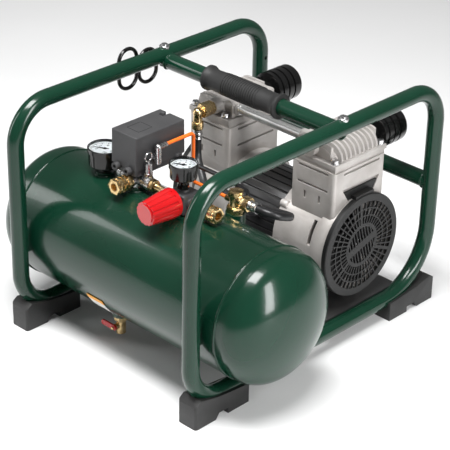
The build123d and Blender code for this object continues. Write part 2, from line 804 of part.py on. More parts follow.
left_base = front_plane(manifold_x, manifold_front - seat, line_z)
write(coupler(left_base, coupler_reach), "left_coupler")
write(coupler_sleeve(left_base, coupler_reach), "left_coupler_sleeve")
right_length = 50.0
right_base = x_plane(body_right + 3 + seat, tank_y, line_z)
write(coupler(right_base, right_length), "right_coupler")
write(coupler_sleeve(right_base, right_length), "right_coupler_sleeve")

# ---- check valve, unloader and its tube -----------------------------------------------------
unloader_r = 2.7
check_top = check_seat + 34
hose_port_z = check_seat + 21
unloader_port_z = check_seat + 17
hose_port_x = check_x + 28
unloader_port_x = check_x - 18
with BuildPart() as check_valve:
    hexagon(Plane(origin=(check_x, check_y, check_seat)), 10, 24)
    bar_z(check_seat, check_top - 8, 9, check_x, check_y)
    hexagon(Plane(origin=(check_x, check_y, check_top - 8)), 8, 20)
    bar_x(check_x, hose_port_x - 10, 8, check_y, hose_port_z)
    hexagon(x_plane(hose_port_x - 12, check_y, hose_port_z), 12, 19)
    bar_x(hose_port_x - 10, hose_port_x, hose_r + shaft_clear, check_y, hose_port_z, mode=Mode.SUBTRACT)
    bar_x(unloader_port_x, check_x, 5.0, check_y, unloader_port_z)
    bar_x(
        unloader_port_x, unloader_port_x + 6, unloader_r + shaft_clear,
        check_y, unloader_port_z, mode=Mode.SUBTRACT,
    )
write(check_valve.part, "check_valve")

unloader_x = switch_right + 7
unloader_top = unloader_z + 17
unloader_mouth = unloader_y + 16
with BuildPart() as unloader_valve:
    bar_x(switch_x + (switch_width - 18) / 2, unloader_x - 2, unloader_stem_r, unloader_y, unloader_z)
    hexagon(x_plane(switch_right + 0.6, unloader_y, unloader_z), 3.5, 12)
    bar_z(unloader_z - 8, unloader_top, 5.0, unloader_x, unloader_y)
    with Locations((unloader_x, unloader_y, unloader_top)):
        Sphere(5.0)
    bar_y(unloader_y, unloader_mouth, 4.2, unloader_x, unloader_top)
    bar_y(
        unloader_mouth - 8, unloader_mouth, unloader_r + shaft_clear,
        unloader_x, unloader_top, mode=Mode.SUBTRACT,
    )
write(unloader_valve.part, "unloader_valve")


def flexible(points, bend, radius):
    """Hose or cable of one thickness along straight runs joined by tangent arcs."""
    with BuildPart() as line:
        with BuildLine() as route:
            FilletPolyline(*points, radius=bend)
        wire = route.wire()
        with BuildSketch(Plane(origin=wire @ 0, z_dir=wire % 0)):
            Circle(radius)
        sweep(path=wire)
    return line.part


unloader_drop_y = check_y + 12
write(
    flexible(
        [
            (unloader_x, unloader_mouth - 7, unloader_top),
            (unloader_x, unloader_drop_y, unloader_top),
            (unloader_x, unloader_drop_y, unloader_port_z),
            (unloader_x + 14, check_y, unloader_port_z),
            (unloader_port_x + 5, check_y, unloader_port_z),
        ],
        7,
        unloader_r,
    ),
    "unloader_tube",
)

# ---- discharge elbow and hose ---------------------------------------------------------------
head_front = pump_y - head_depth / 2
elbow_y = head_front - 32
elbow_low = port_z - 26
leg_r = 7.8
with BuildPart() as discharge_elbow:
    bar_y(elbow_y, head_front - 3, 6.5, elbow_x, port_z)
    hexagon(front_plane(elbow_x, head_front - 3, port_z), 5, 19)
    hexagon(front_plane(elbow_x, head_front - 9, port_z), 15, 20)
    with Locations((elbow_x, elbow_y, port_z)):
        Sphere(leg_r)
    bar_z(elbow_low, port_z, leg_r - 0.8, elbow_x, elbow_y)
    hexagon(Plane(origin=(elbow_x, elbow_y, elbow_low)), 11, 16)
    bar_z(elbow_low, elbow_low + 11, hose_r + shaft_clear, elbow_x, elbow_y, mode=Mode.SUBTRACT)
write(discharge_elbow.part, "discharge_elbow")

hose_low = 203.0
hose_turn_x = check_x + 74
write(
    flexible(
        [
            (elbow_x, elbow_y, elbow_low + 10),
            (elbow_x, elbow_y, hose_low + 22),
            (elbow_x + 36, 0, hose_low - 3),
            (pump_x + 45, -6, hose_low + 2),
            (hose_turn_x, -18, hose_port_z - 18),
            (hose_turn_x, check_y, hose_port_z),
            (hose_port_x - 9, check_y, hose_port_z),
        ],
        20,
        hose_r,
    ),
    "discharge_hose",
)

# ---- motor ----------------------------------------------------------------------------------
motor_gland_x = pump_x + 9
motor_gland_z = shaft_z + 24
motor_gland_face = pump_y - sqrt(motor_r**2 - (motor_gland_z - shaft_z) ** 2) - 9
motor_gland_r = 8.0
fin_count = 32
fin_groove = 3.0
with BuildPart() as motor_housing:
    bar_x(pump_x - case_inner, pump_x + case_inner, motor_r, pump_y, shaft_z)
    with BuildSketch(x_plane(pump_x - case_inner + 8, pump_y, shaft_z)):
        with PolarLocations(motor_r, fin_count):
            Rectangle(2 * fin_groove, fin_groove)
    extrude(amount=motor_length - 16, mode=Mode.SUBTRACT)
    bar_y(motor_gland_face, pump_y - motor_bore_r, motor_gland_r, motor_gland_x, motor_gland_z)
    bar_x(pump_x - case_inner, pump_x + case_inner, motor_bore_r, pump_y, shaft_z, mode=Mode.SUBTRACT)
    bar_y(
        motor_gland_face, motor_gland_face + 8, cable_r + shaft_clear,
        motor_gland_x, motor_gland_z, mode=Mode.SUBTRACT,
    )
write(motor_housing.part, "motor_housing")

# cable from the switch's side gland to the motor, over the discharge hose
write(
    flexible(
        [
            (cable_exit - 5, cable_gland_y, gland_z),
            (cable_exit + 18, cable_gland_y, gland_z),
            (motor_gland_x, -20, hose_low + 36),
            (motor_gland_x, 20, hose_low + 3),
            (motor_gland_x, 20, motor_gland_z),
            (motor_gland_x, motor_gland_face + 7, motor_gland_z),
        ],
        11,
        cable_r,
    ),
    "motor_cable",
)

# rotor on its shaft, with one eccentric disc for each connecting rod
shaft_half = case_outer + 20
rotor_half = 36.0
with BuildPart() as rotor_shaft:
    bar_x(pump_x - shaft_half, pump_x + shaft_half, shaft_r, pump_y, shaft_z)
    bar_x(pump_x - rotor_half, pump_x + rotor_half, rotor_r, pump_y, shaft_z)
    for crank_x in (pump_x - head_offset, pump_x + head_offset):
        bar_x(
            crank_x - rod_width / 2 - 2, crank_x + rod_width / 2 + 2, eccentric_r,
            pump_y, shaft_z - throw,
        )
write(rotor_shaft.part, "rotor_shaft")

fan_start = case_outer + 6
fan_thick = 14.0
blade_count = 9
blade_pitch = 38.0
blade_thick = 1.8
with BuildPart() as fan_right:
    bar_x(pump_x + fan_start, pump_x + fan_start + fan_thick, fan_hub_r, pump_y, shaft_z)
    blade_middle = x_plane(pump_x + fan_start + fan_thick / 2, pump_y, shaft_z)
    for step in range(blade_count):
        place = blade_middle.location * Rot(0, 0, 360 / blade_count * step)
        with Locations(place * Pos((fan_hub_r + fan_r) / 2 - 2, 0, 0) * Rot(blade_pitch, 0, 0)):
            Box(fan_r - fan_hub_r, 21, blade_thick)
    bar_x(
        pump_x + fan_start, pump_x + fan_start + fan_thick, shaft_r + shaft_clear,
        pump_y, shaft_z, mode=Mode.SUBTRACT,
    )
write(fan_right.part, "fan_right")
middle_plane = Plane.YZ.offset(pump_x)
write(mirror(fan_right.part, about=middle_plane), "fan_left")

# ---- crankcases -----------------------------------------------------------------------------
lug_s = case_inner + 41
lug_y = 52.0
lug_size = 30.0
mount_top = plate_top + 14
boss_turn = 41.5
boss_r = 6.0
boss_length = 12.0
vent_s = case_outer - 9
case_face = pump_x + case_inner + seat
case_end = pump_x + case_outer
with BuildPart() as crankcase_right:
    bar_x(case_face, case_end, case_r, pump_y, shaft_z)
    bar_x(case_end, case_end + bell_depth, bell_r, pump_y, shaft_z)
    with BuildSketch(x_plane(case_face, pump_y, shaft_z)):
        for turn in (boss_turn, 180 - boss_turn, 180 + boss_turn, -boss_turn):
            with Locations((case_r * cos(radians(turn)), case_r * sin(radians(turn)))):
                Circle(boss_r)
    extrude(amount=boss_length)
    for side in (-1, 1):
        with Locations((pump_x + lug_s, pump_y + side * lug_y, mount_top + 16)):
            Box(lug_size, lug_size, 32)
    bar_x(
        case_face + case_wall, case_end - case_wall, case_r - case_wall,
        pump_y, shaft_z, mode=Mode.SUBTRACT,
    )
    bar_x(
        case_end, case_end + bell_depth, bell_r - bell_wall,
        pump_y, shaft_z, mode=Mode.SUBTRACT,
    )
    bar_x(case_face, case_end, shaft_r + shaft_clear, pump_y, shaft_z, mode=Mode.SUBTRACT)
    bar_z(shaft_z, shaft_z + case_r, bore_r, pump_x + head_offset, pump_y, mode=Mode.SUBTRACT)
    with Locations((pump_x + vent_s, pump_y - case_r, shaft_z + 31)):
        Box(6, case_r, 36, mode=Mode.SUBTRACT)
write(crankcase_right.part, "crankcase_right")
write(mirror(crankcase_right.part, about=middle_plane), "crankcase_left")

with BuildPart() as motor_mounts:
    for lug_x in (pump_x - lug_s, pump_x + lug_s):
        for y in (pump_y - lug_y, pump_y + lug_y):
            bar_z(plate_top, mount_top, mount_r, lug_x, y)
            bar_z((plate_top + mount_top) / 2 - 2, (plate_top + mount_top) / 2 + 2, mount_r + 1.5, lug_x, y)
write(motor_mounts.part, "motor_mounts")

# ---- cylinder heads -------------------------------------------------------------------------
slot_height = 3.5
slot_depth = 5.0
fin_pitch = 9.6
fin_total = 11
fin_width = 3.6
fin_depth = 7.0
fin_start = 36.0              # where the fins begin, from the head's inner face
head_bolt_r = 4.5
cover_inset = 3.0
filter_shift = 3.0
bolt_places = (head_inner + 15, head_outer - 7)
bolt_side = head_depth / 2 - 7
bolt_pocket_r = 9.0
port_boss_r = 11.0
crossover_y = pump_y - 33
block_low = 188.0


def cover_profile(side, y, drop):
    """Rounded section of the finned half of a cover, across the shaft."""
    fin_x = pump_x + side * (head_inner + fin_start - 8)
    rim_x = pump_x + side * (head_outer - cover_inset - drop)
    low = cover_base + cover_flange
    high = cover_top - drop
    with BuildSketch(front_plane(0, y, 0)) as section:
        with BuildLine():
            Line((fin_x, low), (rim_x, low))
            Line((rim_x, low), (rim_x, low + 3))
            ThreePointArc((rim_x, low + 3), (rim_x - side * 7.5, high - 6), (rim_x - side * 25, high))
            Line((rim_x - side * 25, high), (fin_x, high))
            Line((fin_x, high), (fin_x, low))
        make_face()
    return section.sketch


def head(side):
    """Cylinder block, valve plate and finned cover of one side; side is -1 left, 1 right."""
    axis_x = pump_x + side * head_offset
    outer_x = pump_x + side * head_outer
    inner_x = pump_x + side * head_inner
    front = pump_y - head_depth / 2
    rear = pump_y + head_depth / 2
    crest = cover_base + cover_flange
    with BuildPart() as casting:
        with Locations((axis_x, pump_y, (block_low + block_top) / 2)):
            Box(head_width, head_depth, block_top - block_low)
        fillet(casting.edges().filter_by(Axis.Z), 7)
        with Locations((axis_x, pump_y, block_top + valve_plate / 2)):
            Box(head_width - 4, head_depth - 4, valve_plate)
        with Locations((axis_x, pump_y, cover_base + cover_flange / 2)):
            Box(head_width, head_depth, cover_flange)
        fillet(casting.faces().sort_by(Axis.Z)[-1].edges(), 2)

        # smooth half of the cover, with the ports
        smooth_width = fin_start + 4
        with Locations((inner_x + side * (smooth_width / 2 + 4), pump_y, crest + cover_crest / 2)):
            Box(smooth_width, head_depth - 22, cover_crest)
        fillet(casting.faces().sort_by(Axis.Z)[-1].edges(), 5)
        # finned half
        finned_depth = head_depth - 2 * cover_inset - 2 * fin_width
        extrude(cover_profile(side, rear - cover_inset - fin_width, fin_depth), amount=finned_depth)
        for step in range(fin_total):
            fin_y = pump_y + (step - (fin_total - 1) / 2) * fin_pitch
            extrude(cover_profile(side, fin_y + fin_width / 2, 0), amount=fin_width)

        # pockets for the cover bolts
        for bolt_s in bolt_places:
            for bolt_y in (pump_y - bolt_side, pump_y + bolt_side):
                bar_z(crest, cover_top + 1, bolt_pocket_r, pump_x + side * bolt_s, bolt_y, mode=Mode.SUBTRACT)

        # ports: crossover on the inner side, discharge in front, intake behind
        bar_x(min(inner_x, axis_x), max(inner_x, axis_x), port_boss_r, crossover_y, port_z)
        bar_x(
            inner_x - 12, inner_x + 12, crossover_r + shaft_clear,
            crossover_y, port_z, mode=Mode.SUBTRACT,
        )
        bar_y(front - 3, pump_y, port_boss_r + 1, axis_x + 8 * -side, port_z)
        intake_x = axis_x + filter_shift
        bar_y(pump_y, rear, filter_neck + 2, intake_x, filter_z)

        # cooling slots in the block's faces
        for slot_z in (block_top - 5, block_top - 32):
            for face_y in (front, rear):
                with Locations((axis_x, face_y, slot_z)):
                    Box(head_width - 26, 2 * slot_depth, slot_height, mode=Mode.SUBTRACT)
            for face_x in (inner_x, outer_x):
                with Locations((face_x, pump_y + 3, slot_z - 1)):
                    Box(2 * slot_depth, head_depth - 34, slot_height, mode=Mode.SUBTRACT)
        for slot_x in (axis_x - 14, axis_x + 14):
            with Locations((slot_x, front, block_top - 50)):
                Box(slot_height, 2 * slot_depth, 12, mode=Mode.SUBTRACT)
        # recessed duct below the outer slots
        with BuildSketch(x_plane(outer_x, pump_y, 0)):
            Polygon(
                (-37, block_top - 34), (43, block_top - 34), (28, block_top - 60), (-20, block_top - 60),
                align=None,
            )
        extrude(amount=-side * slot_depth, mode=Mode.SUBTRACT)

        # what the casting sits on and round
        bar_x(
            min(inner_x, axis_x) - head_width, max(inner_x, axis_x) + head_width, case_r + seat,
            pump_y, shaft_z, mode=Mode.SUBTRACT,
        )
        for start_s, end_s, radius in (
            (case_outer, case_outer + bell_depth, bell_r + seat),
            (shroud_start - slide_clear, grille_face + grille_thickness, shroud_r + slide_clear),
        ):
            ends = sorted((pump_x + side * start_s, pump_x + side * end_s))
            bar_x(ends[0], ends[1], radius, pump_y, shaft_z, mode=Mode.SUBTRACT)
        bar_z(shaft_z, block_top, bore_r, axis_x, pump_y, mode=Mode.SUBTRACT)
    return casting.part


write(head(1), "head_right")
write(head(-1), "head_left")

with BuildPart() as head_bolts:
    for side in (-1, 1):
        for bolt_s in bolt_places:
            for bolt_y in (pump_y - bolt_side, pump_y + bolt_side):
                bolt_x = pump_x + side * bolt_s
                top = cover_base + cover_flange
                bar_z(top, top + 1, head_bolt_r + 2, bolt_x, bolt_y)
                hexagon(Plane(origin=(bolt_x, bolt_y, top + 1)), 5, 10)
write(head_bolts.part, "head_bolts")

with BuildPart() as crossover_tube:
    bar_x(pump_x - head_inner - 11, pump_x + head_inner + 11, crossover_r, crossover_y, port_z)
    for collar_x in (pump_x - head_inner, pump_x + head_inner - 4):
        bar_x(collar_x, collar_x + 4, crossover_r + 1.5, crossover_y, port_z)
    bar_x(
        pump_x - head_inner - 11, pump_x + head_inner + 11, crossover_r - 1.5,
        crossover_y, port_z, mode=Mode.SUBTRACT,
    )
write(crossover_tube.part, "crossover_tube")

# ---- pistons with open big ends --------------------------------------------------------------
piston_thick = 8.0
piston_top = block_top - 1 - stroke
ring_outer = big_end_r + 5
rod_low = shaft_z - throw + big_end_r + 2
for name, rod_x in (("piston_left", pump_x - head_offset), ("piston_right", pump_x + head_offset)):
    with BuildPart() as rod:
        bar_x(rod_x - rod_width / 2, rod_x + rod_width / 2, ring_outer, pump_y, shaft_z - throw)
        with Locations((rod_x, pump_y, (rod_low + piston_top - 2) / 2)):
            Box(rod_width, 20, piston_top - 2 - rod_low)
        bar_z(piston_top - piston_thick, piston_top, bore_r - piston_clear, rod_x, pump_y)
        bar_x(
            rod_x - rod_width / 2, rod_x + rod_width / 2, big_end_r,
            pump_y, shaft_z - throw, mode=Mode.SUBTRACT,
        )
    write(rod.part, name)

# ---- fan shrouds ------------------------------------------------------------------------------
slot_bars = 42
rim_inner = 70.0
ring_outers = (60.0, 48.5)
ring_band = 2.0
grille_hub_r = 35.0
hub_band = 5.5
hub_bar = 12.0
hub_turn = 17.0
hub_pitch = 6.0
bar_width = 2.0
spoke_width = 5.0
neck_s = head_outer - slot_depth + slide_clear
rim_end = pump_x + grille_face + grille_thickness
with BuildSketch() as hub:
    with Locations(Rot(0, 0, hub_turn)):
        Rectangle(2 * grille_hub_r, hub_bar)
        with GridLocations(hub_pitch, 0, 9, 1):
            Rectangle(bar_width, 2 * grille_hub_r)
    Circle(grille_hub_r - hub_band / 2, mode=Mode.INTERSECT)

with BuildPart() as shroud_right:
    # neck in the duct of the cylinder block, and the shelf that joins it to the rim
    with BuildSketch(x_plane(pump_x + neck_s, pump_y, 0)):
        Polygon(
            (-33.8, block_top - 38), (40, block_top - 38),
            (27.3, block_top - 60), (-19.3, block_top - 60),
            align=None,
        )
    extrude(amount=slot_depth - 1.5)
    with Locations(((pump_x + neck_s + rim_end) / 2 - 1, pump_y + 3, shaft_z + shroud_r + 0.5)):
        Box(rim_end - pump_x - neck_s - 2, 40, 5)
    bar_x(case_end, pump_x + shroud_start, bell_r + slide_clear, pump_y, shaft_z, mode=Mode.SUBTRACT)
    bar_x(pump_x + shroud_start, rim_end, shroud_r - 1, pump_y, shaft_z, mode=Mode.SUBTRACT)
    with BuildSketch(x_plane(pump_x + shroud_start, pump_y, shaft_z)):
        Circle(shroud_r)
        Circle(shroud_r - shroud_wall, mode=Mode.SUBTRACT)
    extrude(amount=shroud_rim + grille_thickness)
    with BuildSketch(x_plane(pump_x + grille_face, pump_y, shaft_z)):
        Circle(shroud_r)
        Circle(rim_inner, mode=Mode.SUBTRACT)
        for ring_outer_r in ring_outers:
            Circle(ring_outer_r)
            Circle(ring_outer_r - ring_band, mode=Mode.SUBTRACT)
        Circle(grille_hub_r)
        Circle(grille_hub_r - hub_band, mode=Mode.SUBTRACT)
        add(hub.sketch)
        with PolarLocations((grille_hub_r + rim_inner) / 2, slot_bars):
            Rectangle(rim_inner - grille_hub_r + 2, bar_width)
        with PolarLocations((grille_hub_r + rim_inner) / 2, 3, start_angle=95):
            Rectangle(rim_inner - grille_hub_r + 2, spoke_width)
    extrude(amount=grille_thickness)
    rim_edges = shroud_right.edges().filter_by(GeomType.CIRCLE).group_by(Axis.X)[-1]
    chamfer(rim_edges.sort_by(SortBy.RADIUS)[-1], 1.2)
write(shroud_right.part, "shroud_right")
write(mirror(shroud_right.part, about=middle_plane), "shroud_left")

# ---- intake filters ---------------------------------------------------------------------------
filter_ribs = 3
rib_pitch = 13.0
head_rear = pump_y + head_depth / 2
for name, filter_x in (
    ("filter_left", pump_x - head_offset + filter_shift),
    ("filter_right", pump_x + head_offset + filter_shift),
):
    with BuildPart() as intake:
        bar_y(head_rear, head_rear + 14, filter_neck, filter_x, filter_z)
        bar_y(head_rear + 13, head_rear + 13 + filter_length, filter_r, filter_x, filter_z)
        fillet(intake.faces().sort_by(Axis.Y)[-1].edges(), 5)
        for step in range(filter_ribs):
            groove_y = head_rear + 20 + step * rib_pitch
            with BuildSketch(front_plane(filter_x, groove_y + 3, filter_z)):
                Circle(filter_r + 1)
                Circle(filter_r - 2.5, mode=Mode.SUBTRACT)
            extrude(amount=3.5, mode=Mode.SUBTRACT)
        bar_y(head_rear, head_rear + filter_length, filter_neck - 4, filter_x, filter_z, mode=Mode.SUBTRACT)
    write(intake.part, name)
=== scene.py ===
# %% [markdown]
# # A hand-carry air compressor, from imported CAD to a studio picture
#
# The real machine is a gloss-painted tank and a twin-head pump, carried in two hoops of bent tube.
# Its hard parts come from the CAD model, already in metres and in place, so they are loaded and kept.
# What is left for Blender is what CAD leaves plain: dials, weld beads, the soft grip, and every finish.

# %% Load the frame
import math

import bpy
from mathutils import Matrix, Vector


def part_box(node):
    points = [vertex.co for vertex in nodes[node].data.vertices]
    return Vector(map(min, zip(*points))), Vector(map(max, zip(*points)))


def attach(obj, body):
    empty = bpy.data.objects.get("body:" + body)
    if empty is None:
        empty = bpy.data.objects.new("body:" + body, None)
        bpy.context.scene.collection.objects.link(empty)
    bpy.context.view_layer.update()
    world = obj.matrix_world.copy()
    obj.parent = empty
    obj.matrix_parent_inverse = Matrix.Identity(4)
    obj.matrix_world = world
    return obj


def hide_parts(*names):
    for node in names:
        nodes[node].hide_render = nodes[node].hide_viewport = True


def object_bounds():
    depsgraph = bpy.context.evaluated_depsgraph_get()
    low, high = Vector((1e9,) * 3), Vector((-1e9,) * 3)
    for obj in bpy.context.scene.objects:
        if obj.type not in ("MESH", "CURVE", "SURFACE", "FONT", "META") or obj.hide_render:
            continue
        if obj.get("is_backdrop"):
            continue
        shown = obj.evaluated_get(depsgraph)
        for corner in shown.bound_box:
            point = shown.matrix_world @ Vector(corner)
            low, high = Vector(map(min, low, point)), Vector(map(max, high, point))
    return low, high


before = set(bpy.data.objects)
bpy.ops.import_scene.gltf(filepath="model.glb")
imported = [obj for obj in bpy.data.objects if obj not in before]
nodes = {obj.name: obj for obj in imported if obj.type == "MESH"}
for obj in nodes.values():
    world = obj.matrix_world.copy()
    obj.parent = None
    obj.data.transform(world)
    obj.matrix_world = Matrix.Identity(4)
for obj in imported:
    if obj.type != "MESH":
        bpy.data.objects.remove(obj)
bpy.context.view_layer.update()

# %% [markdown]
# ## Camera first
#
# A long lens keeps the hoops nearly parallel. The place and the angles below were solved once from
# the hoops' straight runs, so the camera is set by numbers and not pointed by eye. Its slight roll
# goes in as a turn about its own line of sight.

# %% Camera
camera_data = bpy.data.cameras.new("studio_camera")
camera = bpy.data.objects.new("studio_camera", camera_data)
bpy.context.collection.objects.link(camera)
camera_place = (1.57513, -1.64593, 1.3795)
yaw, pitch, roll = math.radians(43.85), math.radians(28.38), math.radians(1.19)
ahead = Vector((-math.sin(yaw) * math.cos(pitch), math.cos(yaw) * math.cos(pitch), -math.sin(pitch)))
right = Vector((math.cos(yaw), math.sin(yaw), 0))
upward = right.cross(ahead)
right_rolled = right * math.cos(roll) + upward * math.sin(roll)
up_rolled = upward * math.cos(roll) - right * math.sin(roll)
turn = Matrix((right_rolled, up_rolled, -ahead)).transposed()
camera.matrix_world = Matrix.Translation(camera_place) @ turn.to_4x4()
camera_data.sensor_width = 36
camera_data.lens = 137.65
camera_data.clip_end = 30
bpy.context.scene.camera = camera
print("camera", [round(v, 3) for v in camera.location])

# %% [markdown]
# ## Smooth shading on the CAD pieces
#
# CAD pieces arrive as loose triangles. Three live modifiers mend how they catch light without
# touching their points: Weld joins the triangles, Bevel rounds hard edges by 0.3 to 1.6 mm, as a
# casting, a stamping or a moulding has, and Edge Split keeps the corners crisp.

# %% Modifiers for CAD pieces
ROUNDED = {
    "head_left": 0.0009, "head_right": 0.0009, "crankcase_left": 0.0007, "crankcase_right": 0.0007,
    "switch_base": 0.0005, "regulator_body": 0.0004, "drain_lever": 0.0004, "switch_lever": 0.0005,
    "foot_front_left": 0.0016, "foot_front_right": 0.0016, "foot_rear_left": 0.0016,
    "foot_rear_right": 0.0016, "base_plate": 0.0005, "motor_housing": 0.0004,
    "frame_bolts": 0.0005, "head_bolts": 0.0004, "check_valve": 0.0003, "discharge_elbow": 0.0004,
    "left_coupler": 0.0003, "right_coupler": 0.0003, "line_nipple": 0.0003, "safety_valve": 0.0003,
}


def dress(piece, width):
    """Give a CAD piece its live Weld, Bevel and Edge Split modifiers."""
    piece.data.polygons.foreach_set("use_smooth", [True] * len(piece.data.polygons))
    weld = piece.modifiers.new("join", "WELD")
    weld.merge_threshold = 0.00001
    if width:
        bevel = piece.modifiers.new("round", "BEVEL")
        bevel.width = width
        bevel.segments = 2
        bevel.limit_method = "ANGLE"
        bevel.angle_limit = math.radians(38)
        bevel.use_clamp_overlap = True
    split = piece.modifiers.new("crisp", "EDGE_SPLIT")
    split.split_angle = math.radians(32)


for name, piece in nodes.items():
    dress(piece, ROUNDED.get(name, 0))
print("dressed", len(nodes), "of them rounded", len(ROUNDED))

# %% [markdown]
# ## Shared effects
#
# Castings, powder coat and moulded rubber all need the same two things: an uneven surface and a
# slow change of tone. Dust on upward faces and fine scuffs come up again and again too. Each is a
# node group, built once, with its own values wherever it is placed.

# %% Helper for groups
def new_group(title, inputs, outputs):
    """Start a shader group with float inputs and outputs; returns its tree, first and last node."""
    tree = bpy.data.node_groups.new(title, "ShaderNodeTree")
    for label, value in inputs:
        socket = tree.interface.new_socket(label, in_out="INPUT", socket_type="NodeSocketFloat")
        socket.default_value = value
    for label in outputs:
        tree.interface.new_socket(label, in_out="OUTPUT", socket_type="NodeSocketFloat")
    return tree, tree.nodes.new("NodeGroupInput"), tree.nodes.new("NodeGroupOutput")


def math_node(tree, operation, a, b=None):
    """A Math node with each side linked or set; returns its output."""
    node = tree.nodes.new("ShaderNodeMath")
    node.operation = operation
    for socket, value in zip(node.inputs, (a, b)):
        if value is None:
            continue
        if isinstance(value, (int, float)):
            socket.default_value = value
        else:
            tree.links.new(value, socket)
    return node.outputs[0]


# %% Uneven surface
grain_group, grain_in, grain_out = new_group(
    "uneven_surface", [("Scale", 400), ("Coarse", 0.4), ("Tone Scale", 14)], ["Height", "Tone"]
)
place = grain_group.nodes.new("ShaderNodeTexCoord").outputs["Object"]
fine = grain_group.nodes.new("ShaderNodeTexNoise")
fine.inputs["Detail"].default_value = 3
coarse = grain_group.nodes.new("ShaderNodeTexNoise")
coarse.inputs["Detail"].default_value = 2
slow = grain_group.nodes.new("ShaderNodeTexNoise")
slow.inputs["Detail"].default_value = 4
for texture in (fine, coarse, slow):
    grain_group.links.new(place, texture.inputs["Vector"])
grain_group.links.new(grain_in.outputs["Scale"], fine.inputs["Scale"])
coarse_scale = math_node(grain_group, "MULTIPLY", grain_in.outputs["Scale"], 0.22)
grain_group.links.new(coarse_scale, coarse.inputs["Scale"])
grain_group.links.new(grain_in.outputs["Tone Scale"], slow.inputs["Scale"])
coarse_part = math_node(grain_group, "MULTIPLY", coarse.outputs["Fac"], grain_in.outputs["Coarse"])
both_parts = math_node(grain_group, "ADD", fine.outputs["Fac"], coarse_part)
grain_group.links.new(both_parts, grain_out.inputs["Height"])
grain_group.links.new(slow.outputs["Fac"], grain_out.inputs["Tone"])
print("group", grain_group.name)

# %% Settled dust
dust_group, dust_in, dust_out = new_group("settled_dust", [("Amount", 0.3)], ["Mask"])
facing = dust_group.nodes.new("ShaderNodeNewGeometry")
split_normal = dust_group.nodes.new("ShaderNodeSeparateXYZ")
dust_group.links.new(facing.outputs["Normal"], split_normal.inputs[0])
patches = dust_group.nodes.new("ShaderNodeTexNoise")
patches.inputs["Scale"].default_value = 60
patches.inputs["Detail"].default_value = 5
dust_place = dust_group.nodes.new("ShaderNodeTexCoord").outputs["Object"]
dust_group.links.new(dust_place, patches.inputs["Vector"])
upward_only = math_node(dust_group, "MAXIMUM", split_normal.outputs["Z"], 0.0)
upward_part = math_node(dust_group, "POWER", upward_only, 3.0)
patchy = math_node(dust_group, "MULTIPLY", upward_part, patches.outputs["Fac"])
settled = math_node(dust_group, "MULTIPLY", patchy, dust_in.outputs["Amount"])
dust_group.links.new(settled, dust_out.inputs["Mask"])
print("group", dust_group.name)

# %% Fine scuffs
scuff_group, scuff_in, scuff_out = new_group(
    "fine_scuffs", [("Scale", 120), ("Amount", 0.1)], ["Roughness Add"]
)
stretch = scuff_group.nodes.new("ShaderNodeMapping")
stretch.inputs["Scale"].default_value = (1, 6, 2.5)
stretch.inputs["Rotation"].default_value = (0.4, 0.2, 0.7)
scuff_place = scuff_group.nodes.new("ShaderNodeTexCoord").outputs["Object"]
scuff_group.links.new(scuff_place, stretch.inputs["Vector"])
streaks = scuff_group.nodes.new("ShaderNodeTexNoise")
streaks.inputs["Detail"].default_value = 6
scuff_group.links.new(stretch.outputs["Vector"], streaks.inputs["Vector"])
scuff_group.links.new(scuff_in.outputs["Scale"], streaks.inputs["Scale"])
centred = math_node(scuff_group, "SUBTRACT", streaks.outputs["Fac"], 0.5)
added = math_node(scuff_group, "MULTIPLY", centred, scuff_in.outputs["Amount"])
scuff_group.links.new(added, scuff_out.inputs["Roughness Add"])
print("group", scuff_group.name)

# %% [markdown]
# ## One recipe for a finish
#
# Every finish is a Principled shader with a base colour that drifts a little between a darker and a
# lighter tone, a roughness broken up by scuffs, and a bump from the uneven surface. Only the values
# differ between gloss paint, sandblasted casting and moulded rubber, so one function lays it out.

